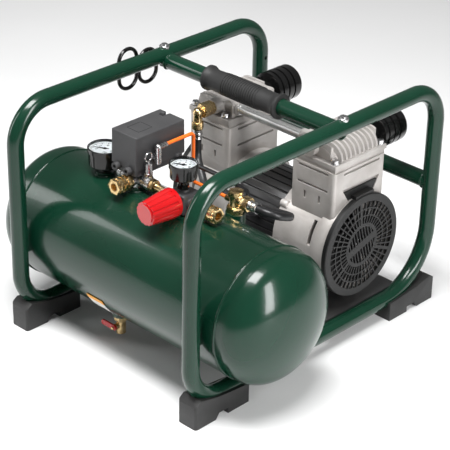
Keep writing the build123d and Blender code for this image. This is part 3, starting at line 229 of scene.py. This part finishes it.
# %% Finish recipe
def finish(title, dark, light, rough, metal=0.0, coat=0.0, grain=400, coarse=0.4, bump=0.1,
           depth=0.0002, tone=14, scuff=0.1, dust=0.0, specular=0.5):
    """Make a material from the shared groups; colours are linear red, green, blue."""
    made = bpy.data.materials.new(title)
    made.use_nodes = True
    tree = made.node_tree
    shader = tree.nodes["Principled BSDF"]
    shader.inputs["Metallic"].default_value = metal
    shader.inputs["Coat Weight"].default_value = coat
    shader.inputs["Coat Roughness"].default_value = 0.04
    shader.inputs["Specular IOR Level"].default_value = specular
    surface = tree.nodes.new("ShaderNodeGroup")
    surface.node_tree = grain_group
    surface.inputs["Scale"].default_value = grain
    surface.inputs["Coarse"].default_value = coarse
    surface.inputs["Tone Scale"].default_value = tone
    blend = tree.nodes.new("ShaderNodeMix")
    blend.data_type = "RGBA"
    blend.inputs["A"].default_value = (*dark, 1)
    blend.inputs["B"].default_value = (*light, 1)
    spread = tree.nodes.new("ShaderNodeMapRange")
    spread.inputs["From Min"].default_value = 0.3
    spread.inputs["From Max"].default_value = 0.7
    tree.links.new(surface.outputs["Tone"], spread.inputs["Value"])
    tree.links.new(spread.outputs["Result"], blend.inputs["Factor"])
    colour = blend.outputs["Result"]
    if dust:
        film = tree.nodes.new("ShaderNodeGroup")
        film.node_tree = dust_group
        film.inputs["Amount"].default_value = dust
        dusty = tree.nodes.new("ShaderNodeMix")
        dusty.data_type = "RGBA"
        dusty.inputs["B"].default_value = (0.45, 0.43, 0.4, 1)
        tree.links.new(colour, dusty.inputs["A"])
        tree.links.new(film.outputs["Mask"], dusty.inputs["Factor"])
        colour = dusty.outputs["Result"]
    tree.links.new(colour, shader.inputs["Base Color"])
    marks = tree.nodes.new("ShaderNodeGroup")
    marks.node_tree = scuff_group
    marks.inputs["Amount"].default_value = scuff
    tree.links.new(math_node(tree, "ADD", marks.outputs[0], rough), shader.inputs["Roughness"])
    relief = tree.nodes.new("ShaderNodeBump")
    relief.inputs["Strength"].default_value = bump
    relief.inputs["Distance"].default_value = depth
    tree.links.new(surface.outputs["Height"], relief.inputs["Height"])
    tree.links.new(relief.outputs["Normal"], shader.inputs["Normal"])
    return made


# %% [markdown]
# ## The palette
#
# Paint first: the hoops and the tank share one gloss bottle green. The blocks are sandblasted
# aluminium, a warm mid grey with a coarse grain. Rubber and plastics differ mainly in roughness.

# %% Finishes
paint = finish("bottle_green_gloss", (0.0025, 0.024, 0.012), (0.003, 0.03, 0.016), 0.2, coat=0.25,
               grain=300, coarse=0.8, bump=0.05, tone=6, scuff=0.12, dust=0.01, specular=0.3)
casting = finish("sandblasted_casting", (0.4, 0.375, 0.355), (0.52, 0.495, 0.475), 0.5, metal=0.4,
                 grain=1500, coarse=0.7, bump=0.35, depth=0.0003, tone=30, scuff=0.25)
drawn = finish("drawn_aluminium", (0.62, 0.62, 0.61), (0.75, 0.75, 0.74), 0.32, metal=0.9,
               grain=900, bump=0.1, tone=40, scuff=0.3)
zinc = finish("bright_zinc", (0.5, 0.5, 0.5), (0.68, 0.68, 0.69), 0.26, metal=1.0,
              grain=700, bump=0.08, tone=90, scuff=0.3)
brass = finish("machined_brass", (0.56, 0.39, 0.18), (0.76, 0.57, 0.3), 0.24, metal=1.0,
               grain=900, bump=0.1, tone=120, scuff=0.3)
foot_rubber = finish("moulded_foot_rubber", (0.008, 0.008, 0.008), (0.014, 0.014, 0.014), 0.5,
                     grain=900, bump=0.25, tone=30, scuff=0.2, dust=0.03)
grip_rubber = finish("soft_grip_rubber", (0.012, 0.012, 0.012), (0.019, 0.019, 0.019), 0.55,
                     grain=1600, bump=0.3, tone=30, scuff=0.15, dust=0.01, specular=0.35)
hose_rubber = finish("smooth_hose_rubber", (0.008, 0.008, 0.009), (0.015, 0.015, 0.016), 0.38,
                     grain=800, bump=0.15, tone=40, scuff=0.2)
switch_plastic = finish("fine_textured_plastic", (0.03, 0.03, 0.032), (0.042, 0.042, 0.044), 0.48,
                        grain=1800, bump=0.35, tone=20, scuff=0.12, dust=0.03)
gloss_plastic = finish("gloss_black_plastic", (0.003, 0.003, 0.003), (0.006, 0.006, 0.006), 0.16,
                       grain=300, bump=0.04, tone=30, scuff=0.12, coat=0.2, specular=0.35)
grille_plastic = finish("matte_grille_plastic", (0.007, 0.007, 0.007), (0.012, 0.012, 0.012), 0.45,
                        grain=1500, bump=0.3, tone=25, scuff=0.15, dust=0.01, specular=0.35)
motor_paint = finish("satin_motor_paint", (0.01, 0.01, 0.011), (0.017, 0.017, 0.018), 0.36,
                     grain=700, bump=0.15, tone=25, scuff=0.2, dust=0.05)
red_gloss = finish("gloss_red", (0.42, 0.004, 0.006), (0.5, 0.007, 0.009), 0.2, coat=0.6,
                   grain=300, bump=0.04, tone=30, scuff=0.1)
orange = finish("orange_tubing", (0.75, 0.12, 0.01), (0.85, 0.17, 0.02), 0.35,
                grain=500, bump=0.08, tone=60, scuff=0.1)
print("finishes", len(bpy.data.materials))

# %% [markdown]
# The lens passes nearly all light: a very faint cool tint, a smooth surface and full transmission.
# It bends light far less than real glass would, so the dial behind it stays bright and in place.

# %% Lens glass
lens = bpy.data.materials.new("clear_lens")
lens.use_nodes = True
lens_shader = lens.node_tree.nodes["Principled BSDF"]
lens_shader.inputs["Base Color"].default_value = (0.96, 0.98, 1, 1)
lens_shader.inputs["Roughness"].default_value = 0.03
lens_shader.inputs["Transmission Weight"].default_value = 1
lens_shader.inputs["IOR"].default_value = 1.1
print("lens", lens.name)

# %% Finishes on the CAD pieces
WEARS = {
    paint: ["left_loop", "right_loop", "handle_tube", "rear_cross_bar", "tank_mounts", "tank_shell",
            "tank_end_left", "tank_end_right"],
    casting: ["crankcase_left", "crankcase_right", "head_left", "head_right"],
    drawn: ["crossover_tube"],
    zinc: ["frame_bolts", "head_bolts", "manifold", "safety_valve", "safety_ring", "unloader_valve",
           "rotor_shaft", "piston_left", "piston_right"],
    brass: ["drain_valve", "line_nipple", "check_valve", "left_coupler", "left_coupler_sleeve",
            "right_coupler", "right_coupler_sleeve", "discharge_elbow"],
    foot_rubber: ["foot_front_left", "foot_front_right", "foot_rear_left", "foot_rear_right",
                  "motor_mounts"],
    grip_rubber: ["handle_grip"],
    hose_rubber: ["discharge_hose", "motor_cable"],
    switch_plastic: ["switch_base", "switch_cover", "switch_lever", "regulator_body"],
    gloss_plastic: ["hose_hooks", "tank_gauge", "outlet_gauge", "filter_left", "filter_right",
                    "tank_gauge_needle", "outlet_gauge_needle"],
    grille_plastic: ["shroud_left", "shroud_right", "fan_left", "fan_right"],
    motor_paint: ["motor_housing", "base_plate"],
    red_gloss: ["regulator_knob", "drain_lever"],
    orange: ["unloader_tube"],
    lens: ["tank_gauge_lens", "outlet_gauge_lens"],
}
for material, names in WEARS.items():
    for name in names:
        nodes[name].data.materials.clear()
        nodes[name].data.materials.append(material)
print("painted", sum(len(names) for names in WEARS.values()), "of", len(nodes))

# %% [markdown]
# ## Tools for the new pieces
#
# A new piece is modelled with operators where it stands, then its place goes into its mesh, so its
# object rests at the origin like a CAD piece. A few helpers keep that short.

# %% Helpers for modelling
def clear_selection():
    """Leave edit mode and deselect everything."""
    if bpy.context.mode != "OBJECT":
        bpy.ops.object.mode_set(mode="OBJECT")
    bpy.ops.object.select_all(action="DESELECT")


def choose(piece):
    """Make one piece the only selected and the active one."""
    clear_selection()
    piece.select_set(True)
    bpy.context.view_layer.objects.active = piece


def settle(piece, title, material, body, angle=35):
    """Name a piece, put its place in its mesh, smooth it, paint it and fix it to a body."""
    choose(piece)
    bpy.ops.object.transform_apply(location=True, rotation=True, scale=True)
    bpy.ops.object.shade_smooth_by_angle(angle=math.radians(angle))
    piece.name = title
    piece.data.materials.clear()
    piece.data.materials.append(material)
    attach(piece, body)
    print(title, "faces", len(piece.data.polygons))


def apply_all(piece):
    """Apply every modifier on a piece."""
    choose(piece)
    for modifier in list(piece.modifiers):
        bpy.ops.object.modifier_apply(modifier=modifier.name)


def pick_faces(piece, test):
    """In edit mode, select the faces whose middle passes a test."""
    bpy.ops.object.mode_set(mode="OBJECT")
    for face in piece.data.polygons:
        face.select = bool(test(face.center))
    for edge in piece.data.edges:
        edge.select = False
    for vertex in piece.data.vertices:
        vertex.select = False
    for face in piece.data.polygons:
        if face.select:
            for index in face.vertices:
                piece.data.vertices[index].select = True
    bpy.ops.object.mode_set(mode="EDIT")
    bpy.ops.mesh.select_mode(type="FACE")


# %% [markdown]
# ## The soft grip
#
# The moulded grip is fatter in the middle than at its ends and flares into a collar at each end to
# keep the hand off the frame. It is a turned shape, so a line of points is drawn along the tube and
# spun round the tube's axis. The middle carries fine ribs, which are part of the line.

# %% Grip profile
grip_low, grip_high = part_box("handle_grip")
grip_middle = (grip_low + grip_high) / 2
half = (grip_high.x - grip_low.x) / 2
tube_low, tube_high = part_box("handle_tube")
tube_radius = (tube_high.y - tube_low.y) / 2
# Each point is a distance along the tube and a radius; the collar is one end of the line.
collar = [
    (-half, tube_radius + 0.0002), (-half, 0.0172), (-half + 0.0012, 0.0193),
    (-half + 0.004, 0.0196), (-half + 0.0065, 0.0186), (-half + 0.0095, 0.0168),
    (-half + 0.016, 0.0161), (-half + 0.03, 0.0164),
]
rib_total = 16
rib_span = 0.072
groove = 0.0009
ribs = []
for rib in range(rib_total):
    along = -rib_span / 2 + rib_span * rib / rib_total
    swell = 0.0171 + 0.0006 * math.cos(along / 0.04)
    ribs += [(along, swell), (along + 0.0028, swell), (along + 0.0031, swell - groove),
             (along + 0.0042, swell - groove)]
outline = collar + ribs + [(-x, r) for x, r in reversed(collar)]
print("grip points", len(outline))

# %% Spin the grip
clear_selection()
bpy.ops.mesh.primitive_plane_add(size=0.01)
grip = bpy.context.object
bpy.ops.object.mode_set(mode="EDIT")
bpy.ops.mesh.select_all(action="SELECT")
bpy.ops.mesh.delete(type="VERT")
bpy.ops.object.mode_set(mode="OBJECT")
links = [(i, i + 1) for i in range(len(outline) - 1)]
grip.data.from_pydata([(x, 0, r) for x, r in outline], links, [])
bpy.ops.object.mode_set(mode="EDIT")
bpy.ops.mesh.select_all(action="SELECT")
bpy.ops.mesh.spin(steps=56, angle=math.tau, center=(0, 0, 0), axis=(1, 0, 0))
bpy.ops.mesh.select_all(action="SELECT")
bpy.ops.mesh.remove_doubles(threshold=0.00002)
bpy.ops.mesh.normals_make_consistent(inside=False)
bpy.ops.object.mode_set(mode="OBJECT")
grip.location = grip_middle
settle(grip, "grip", grip_rubber, "unit", 50)
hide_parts("handle_grip")

# %% [markdown]
# ## Dials
#
# Under each lens is a white printed disc. Its ticks follow the angle round the centre, so they are
# worked out in the material: the angle gives the spokes, and the distance from the centre keeps
# them in a ring. Only the numbers are shapes of their own.

# %% Dial print
def dial_print(title, centre, radius):
    """White dial with a ring of long and short ticks round a centre."""
    made = bpy.data.materials.new(title)
    made.use_nodes = True
    tree = made.node_tree
    shader = tree.nodes["Principled BSDF"]
    shader.inputs["Roughness"].default_value = 0.45
    where = tree.nodes.new("ShaderNodeTexCoord").outputs["Object"]
    centre_on = tree.nodes.new("ShaderNodeMapping")
    centre_on.inputs["Location"].default_value = (-centre.x, -centre.y, 0)
    tree.links.new(where, centre_on.inputs["Vector"])
    parts = tree.nodes.new("ShaderNodeSeparateXYZ")
    tree.links.new(centre_on.outputs["Vector"], parts.inputs[0])
    squares = [math_node(tree, "MULTIPLY", parts.outputs[i], parts.outputs[i]) for i in (0, 1)]
    distance = math_node(tree, "SQRT", math_node(tree, "ADD", squares[0], squares[1]))
    angle = math_node(tree, "ARCTAN2", parts.outputs[0], parts.outputs[1])
    turns = math_node(tree, "DIVIDE", angle, math.tau)
    rings = []
    for count, inner, width in ((60, 0.8, 0.16), (12, 0.68, 0.06)):
        swept = math_node(tree, "MULTIPLY", turns, count)
        phase = math_node(tree, "FRACT", math_node(tree, "ADD", swept, 0.5))
        near = math_node(tree, "ABSOLUTE", math_node(tree, "SUBTRACT", phase, 0.5))
        spoke = math_node(tree, "LESS_THAN", near, width)
        beyond = math_node(tree, "GREATER_THAN", distance, inner * radius)
        within = math_node(tree, "LESS_THAN", distance, 0.9 * radius)
        rings.append(math_node(tree, "MULTIPLY", spoke, math_node(tree, "MULTIPLY", beyond, within)))
    ink = math_node(tree, "MAXIMUM", rings[0], rings[1])
    blend = tree.nodes.new("ShaderNodeMix")
    blend.data_type = "RGBA"
    blend.inputs["A"].default_value = (0.86, 0.87, 0.86, 1)
    blend.inputs["B"].default_value = (0.02, 0.02, 0.02, 1)
    tree.links.new(ink, blend.inputs["Factor"])
    tree.links.new(blend.outputs["Result"], shader.inputs["Base Color"])
    return made


# %% Dials with their numbers
ink_black = finish("dial_ink", (0.01, 0.01, 0.01), (0.02, 0.02, 0.02), 0.5, bump=0.05)
number_total = 6
first_number, number_apart = -135, 54  # degrees from straight up
for gauge in ("tank", "outlet"):
    low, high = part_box(f"{gauge}_gauge_lens")
    centre = (low + high) / 2
    radius = (high.x - low.x) / 2
    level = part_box(f"{gauge}_gauge_needle")[0].z - 0.0005
    clear_selection()
    bpy.ops.mesh.primitive_circle_add(vertices=96, radius=radius - 0.0003, fill_type="NGON",
                                      location=(centre.x, centre.y, level))
    dial = bpy.context.object
    bpy.ops.object.mode_set(mode="EDIT")
    bpy.ops.mesh.select_all(action="SELECT")
    bpy.ops.mesh.inset(thickness=0.0012, depth=-0.0002)
    bpy.ops.mesh.poke()
    bpy.ops.object.mode_set(mode="OBJECT")
    settle(dial, f"{gauge}_dial", dial_print(f"{gauge}_dial_print", centre, radius), "unit")
    numbers = []
    reach = radius * 0.5
    for step in range(number_total):
        swing = math.radians(first_number + number_apart * step)
        spot = (centre.x + reach * math.sin(swing), centre.y + reach * math.cos(swing), level)
        clear_selection()
        bpy.ops.object.text_add(location=spot)
        number = bpy.context.object
        number.data.body = str(step * 2)
        number.data.size = radius * 0.3
        number.data.align_x = "CENTER"
        number.data.align_y = "CENTER"
        number.data.extrude = 0.00008
        number.data.resolution_u = 2
        bpy.ops.object.convert(target="MESH")
        numbers.append(bpy.context.object)
    clear_selection()
    for number in numbers:
        number.select_set(True)
    bpy.context.view_layer.objects.active = numbers[0]
    bpy.ops.object.join()
    settle(numbers[0], f"{gauge}_dial_numbers", ink_black, "unit")

# %% [markdown]
# ## Weld beads
#
# Two rings of weld join the dished ends to the tank's shell. A bead runs round each end of the
# handle and of the rear bar, and round three fittings on the tank. A bead is a thin torus, pushed
# in and out a little by a noise texture, as the weaving torch leaves it, under the same paint.

# %% Bead helper
ripple = bpy.data.textures.new("bead_ripple", "CLOUDS")
ripple.noise_scale = 0.006
bead_step = 0.0016  # metres between a bead's points


def bead(title, place, axis, ring, thickness):
    """A weld bead round a tube or the tank, painted with the frame."""
    clear_selection()
    turn_to = Vector((0, 0, 1)).rotation_difference(Vector(axis)).to_euler()
    around = max(48, int(math.tau * ring / bead_step))
    bpy.ops.mesh.primitive_torus_add(location=place, rotation=turn_to, major_radius=ring,
                                     minor_radius=thickness, major_segments=min(around, 300),
                                     minor_segments=8)
    made = bpy.context.object
    uneven = made.modifiers.new("ripple", "DISPLACE")
    uneven.texture = ripple
    uneven.texture_coords = "GLOBAL"
    uneven.strength = thickness * 0.8
    apply_all(made)
    settle(made, title, paint, "unit", 60)


# %% Beads on the tank and on the frame
shell_low, shell_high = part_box("tank_shell")
tank_low, tank_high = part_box("tank_end_right")
tank_middle = (tank_low + tank_high) / 2
tank_radius = (tank_high.y - tank_low.y) / 2
along_x = (1, 0, 0)
seam_ring, seam_thickness = tank_radius - 0.0006, 0.0021
joint_reach, joint_ring, joint_thickness = 0.1695, 0.0126, 0.0016
bung_ring, bung_thickness = 0.0156, 0.0018
check_valve_stem = 0.018  # metres from the valve's left side to its stem
for side, x in (("left", shell_low.x), ("right", shell_high.x)):
    spot = (x, tank_middle.y, tank_middle.z)
    bead(f"tank_seam_{side}", spot, along_x, seam_ring, seam_thickness)
handle_middle = (tube_low + tube_high) / 2
bar_low, bar_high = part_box("rear_cross_bar")
bar_middle = (bar_low + bar_high) / 2
for side, reach in (("left", -1), ("right", 1)):
    joint = joint_reach * reach
    for title, tube in (("handle", handle_middle), ("cross_bar", bar_middle)):
        bead(f"{title}_weld_{side}", (joint, tube.y, tube.z), along_x, joint_ring, joint_thickness)
for node in ("manifold", "tank_gauge", "check_valve"):
    low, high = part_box(node)
    middle = (low + high) / 2
    if node == "check_valve":
        middle.x = low.x + check_valve_stem
    if node == "manifold":
        middle.y = tank_middle.y
    height = math.sqrt(tank_radius ** 2 - (middle.y - tank_middle.y) ** 2)
    tilt = Vector((0, middle.y - tank_middle.y, height)).normalized()
    spot = (middle.x, middle.y, tank_middle.z + height - 0.0004)
    bead(f"{node}_bung_weld", spot, tilt, bung_ring, bung_thickness)

# %% [markdown]
# ## A plain warning plate
#
# A small tag sits low on the front of the tank. It is left blank here: a thin sheet bent to the
# tank's round, pale with a coloured band across its top, and nothing printed on it.

# %% Tag
tag_white = finish("tag_face", (0.62, 0.62, 0.6), (0.74, 0.74, 0.72), 0.42,
                   grain=600, bump=0.08, tone=60)
tag_band = finish("tag_band", (0.72, 0.3, 0.02), (0.8, 0.36, 0.03), 0.42,
                  grain=600, bump=0.08, tone=60)
tag_x = -0.0455
tag_angle = math.radians(-40)
tag_width, tag_height = 0.034, 0.046
band_from = 0.0125
lift = tank_radius + 0.0007
clear_selection()
bpy.ops.mesh.primitive_grid_add(x_subdivisions=18, y_subdivisions=24, size=1)
tag = bpy.context.object
tag.scale = (tag_width, tag_height, 1)
bpy.ops.object.transform_apply(scale=True)
pick_faces(tag, lambda middle: middle.y > band_from)
tag.data.materials.append(tag_white)
tag.data.materials.append(tag_band)
bpy.context.object.active_material_index = 1
bpy.ops.object.material_slot_assign()
bpy.ops.object.mode_set(mode="OBJECT")
for vertex in tag.data.vertices:
    bent = tag_angle + vertex.co.y / tank_radius
    vertex.co = Vector((tag_x + vertex.co.x, tank_middle.y - math.cos(bent) * lift,
                        tank_middle.z + math.sin(bent) * lift))
thick = tag.modifiers.new("thickness", "SOLIDIFY")
thick.thickness = 0.0006
thick.offset = 1
apply_all(tag)
choose(tag)
bpy.ops.object.mode_set(mode="EDIT")
bpy.ops.mesh.select_all(action="SELECT")
bpy.ops.mesh.normals_make_consistent(inside=False)
bpy.ops.object.mode_set(mode="OBJECT")
bpy.ops.object.shade_smooth_by_angle(angle=math.radians(40))
tag.name = "blank_tag"
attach(tag, "unit")
print("tag faces", len(tag.data.polygons))

# %% [markdown]
# ## Hose ferrules
#
# Each end of the discharge hose is held by a crimped steel ferrule. It is a short tube with its
# wall pressed in at two places: an open cylinder, finely divided, whose rings are drawn inward.

# %% Ferrules
ferrule_length = 0.015
ferrule_radius = 0.0074


def ferrule(title, place, axis):
    """A crimped collar round the hose."""
    clear_selection()
    turn_to = Vector((0, 0, 1)).rotation_difference(Vector(axis)).to_euler()
    bpy.ops.mesh.primitive_cylinder_add(vertices=40, radius=0.0076, depth=ferrule_length,
                                        end_fill_type="NOTHING")
    made = bpy.context.object
    bpy.ops.object.mode_set(mode="EDIT")
    bpy.ops.mesh.select_all(action="SELECT")
    bpy.ops.mesh.subdivide(number_cuts=8)
    bpy.ops.object.mode_set(mode="OBJECT")
    for vertex in made.data.vertices:
        pinch = 0.0008 * math.cos(vertex.co.z / ferrule_length * math.tau * 2) - 0.0003
        distance = math.hypot(vertex.co.x, vertex.co.y)
        vertex.co.x *= (ferrule_radius + pinch) / distance
        vertex.co.y *= (ferrule_radius + pinch) / distance
    wall = made.modifiers.new("wall", "SOLIDIFY")
    wall.thickness = 0.0007
    wall.offset = -1
    apply_all(made)
    made.rotation_euler = turn_to
    made.location = place
    settle(made, title, zinc, "unit", 50)


hose_radius = 0.006
ferrule_gap = 0.0085  # metres from a fitting's end to the middle of its ferrule
elbow_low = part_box("discharge_elbow")[0]
hose_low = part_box("discharge_hose")[0]
check_low, check_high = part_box("check_valve")
pump_end = (hose_low.x + hose_radius, elbow_low.y + 0.008, elbow_low.z - ferrule_gap)
tank_end = (check_high.x + ferrule_gap, hose_low.y + hose_radius, check_low.z + 0.021)
ferrule("hose_ferrule_pump", pump_end, (0, 0, 1))
ferrule("hose_ferrule_tank", tank_end, along_x)

# %% [markdown]
# ## Studio
#
# The picture is a plain catalogue one: a pale floor that runs into a bright surround, one broad
# soft light overhead for the tank's long highlight, and two tall softboxes for the tube's edges.
# The surround is bright only where the camera sees it. To everything else it is a dim grey, so
# the paint and the black parts stay dark.

# %% Floor, surround and lights
clear_selection()
bpy.ops.mesh.primitive_plane_add(size=14, location=(0, 0, -0.0003))
floor = bpy.context.object
floor.name = "studio_floor"
floor_finish = finish("studio_paper", (0.82, 0.82, 0.82), (0.85, 0.85, 0.85), 0.7, bump=0.02, tone=2)
floor.data.materials.append(floor_finish)
floor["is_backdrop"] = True
surround = bpy.data.worlds.new("studio_surround")
surround.use_nodes = True
backdrop = surround.node_tree.nodes["Background"]
backdrop.inputs["Color"].default_value = (1, 1, 1, 1)
unseen_strength = 0.2
seen = surround.node_tree.nodes.new("ShaderNodeLightPath").outputs["Is Camera Ray"]
strength = math_node(surround.node_tree, "MAXIMUM", seen, unseen_strength)
surround.node_tree.links.new(strength, backdrop.inputs["Strength"])
bpy.context.scene.world = surround


def softbox(title, place, width, height, power):
    """A rectangular light pointed at the machine; power is in watts."""
    data = bpy.data.lights.new(title, "AREA")
    data.shape = "RECTANGLE"
    data.size = width
    data.size_y = height
    data.energy = power
    light = bpy.data.objects.new(title, data)
    bpy.context.collection.objects.link(light)
    light.location = place
    light.rotation_euler = (light_aim - Vector(place)).to_track_quat("-Z", "Y").to_euler()


light_aim = Vector((0, 0, 0.2))
softbox("overhead", (0.1, -0.5, 1.9), width=1.4, height=0.6, power=62)
softbox("tall_left", (-1.7, -1.3, 0.9), width=0.4, height=1.5, power=12)
softbox("tall_right", (1.8, -0.1, 0.9), width=0.4, height=1.4, power=30)
bpy.context.scene.view_settings.view_transform = "Standard"

# %% [markdown]
# ## Finish
#
# The last line prints the size of the box round every shown piece, with the floor left out.

# %% Size of the box
clear_selection()
low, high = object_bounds()
print("visual box", [round(v, 3) for v in high - low])
